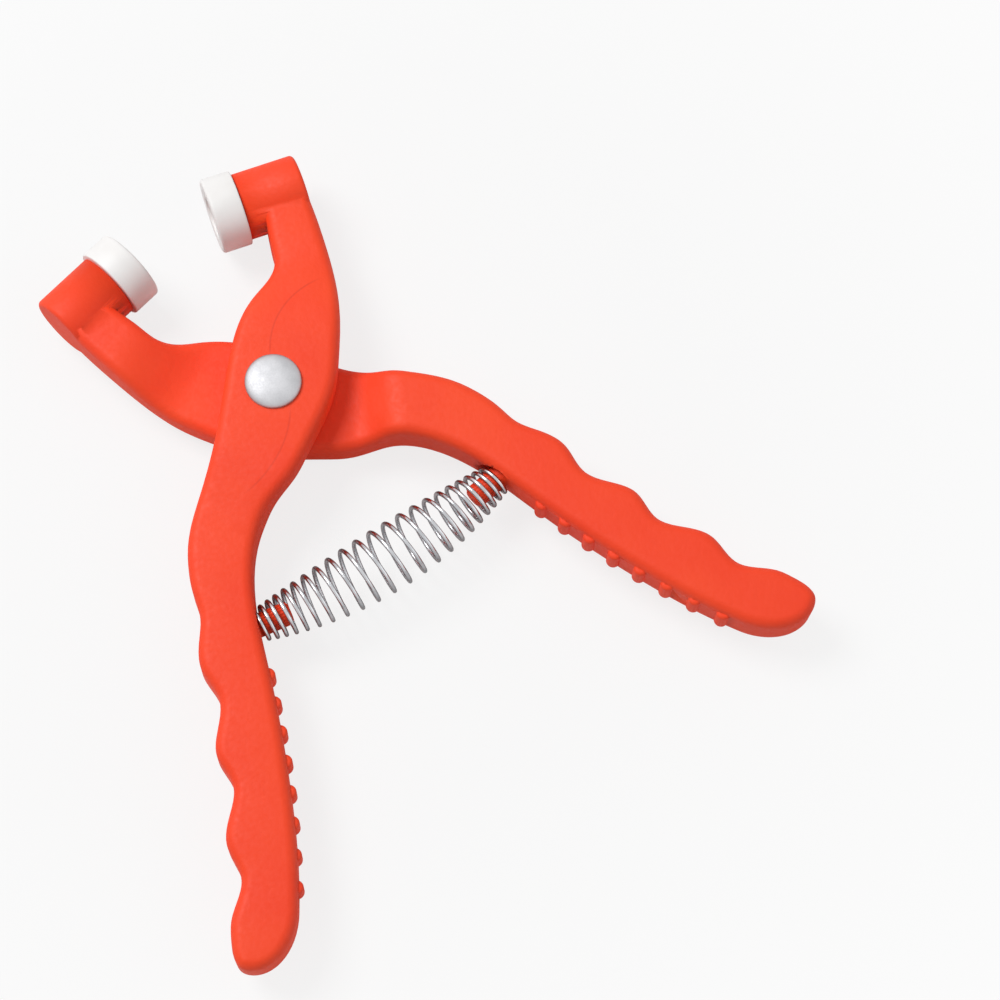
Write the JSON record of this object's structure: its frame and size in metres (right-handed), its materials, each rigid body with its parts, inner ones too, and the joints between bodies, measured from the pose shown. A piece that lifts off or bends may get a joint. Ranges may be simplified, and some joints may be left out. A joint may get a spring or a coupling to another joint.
{
  "type": "snap setter pliers",
  "caption": "Hand pliers that press snap fasteners onto cloth: two lapped levers on a rivet, held open by a barrel spring, with a die cap on each jaw.",
  "frame": {"origin": "on the rivet's axis, at the flat lower end of the rivet that rests on the table", "axes": "+X from the rivet towards the jaws, midway between the two jaw heads; +Z along the rivet towards its domed head; +Y towards the lower lever's jaw head. Stored with the jaws open, as the spring holds them."},
  "size_m": [0.1697, 0.157, 0.0236],
  "materials": {
    "lever_plastic": "satin moulded ABS, orange red",
    "cap_nylon": "matte white nylon",
    "anvil_steel": "turned face",
    "rivet_metal": "satin plated, domed head",
    "spring_steel": "bright nickel plated wire"
  },
  "bodies": {
    "upper": {"upper_lever": "lever_plastic", "upper_die_cap": "cap_nylon", "upper_anvil": "anvil_steel", "pivot_rivet": "rivet_metal", "rivet_washer": "rivet_metal", "return_spring": "spring_steel"},
    "lower": {"lower_lever": "lever_plastic", "lower_die_cap": "cap_nylon", "lower_anvil": "anvil_steel"}
  },
  "joints": [
    {"name": "pivot", "type": "hinge", "parent": "upper", "child": "lower", "pos_m": [0, 0, 0.0118], "axis": [0, 0, -1], "range_deg": [-3, 26], "stiffness_Nm_per_rad": 2, "deforming": ["return_spring"]}
  ]
}
